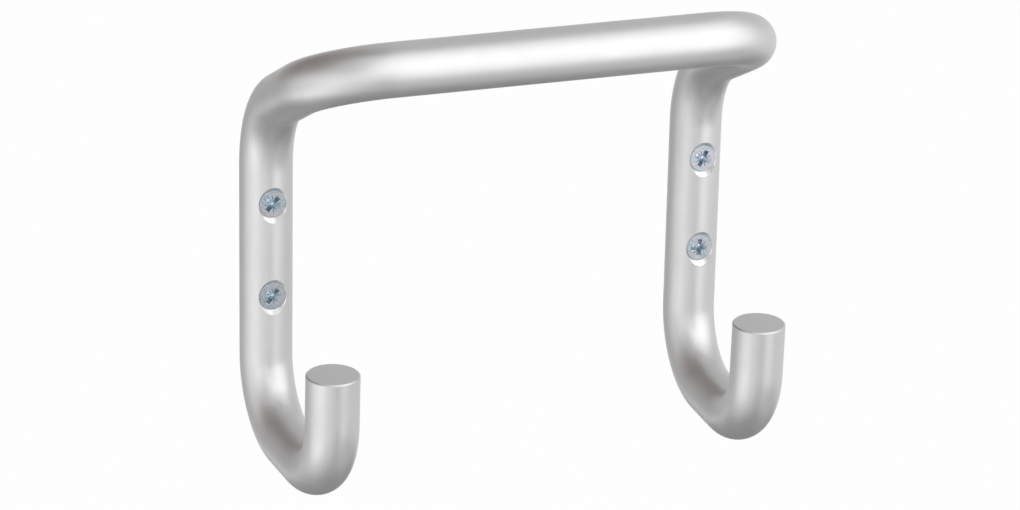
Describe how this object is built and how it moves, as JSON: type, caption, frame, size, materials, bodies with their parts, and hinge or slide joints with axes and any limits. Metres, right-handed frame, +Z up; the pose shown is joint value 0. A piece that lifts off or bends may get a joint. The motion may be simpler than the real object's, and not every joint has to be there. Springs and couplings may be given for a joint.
{
  "type": "coat hook",
  "caption": "Coat hook bent from a round aluminium bar: a rail that stands forward of the wall, legs that lie on the wall, upturned hook ends, and countersunk screws.",
  "frame": {"origin": "middle of the rectangle of four fixing screws, on the plane of the wall that the legs lie on", "axes": "+X to the right as seen from the room, +Y into the wall, +Z up"},
  "size_m": [0.116, 0.0647, 0.1065],
  "materials": {
    "bar": "satin anodised",
    "screws": "bright zinc plated"
  },
  "bodies": {
    "root": {"bent_bar": "bar", "fixing_screws": "screws"}
  },
  "joints": []
}
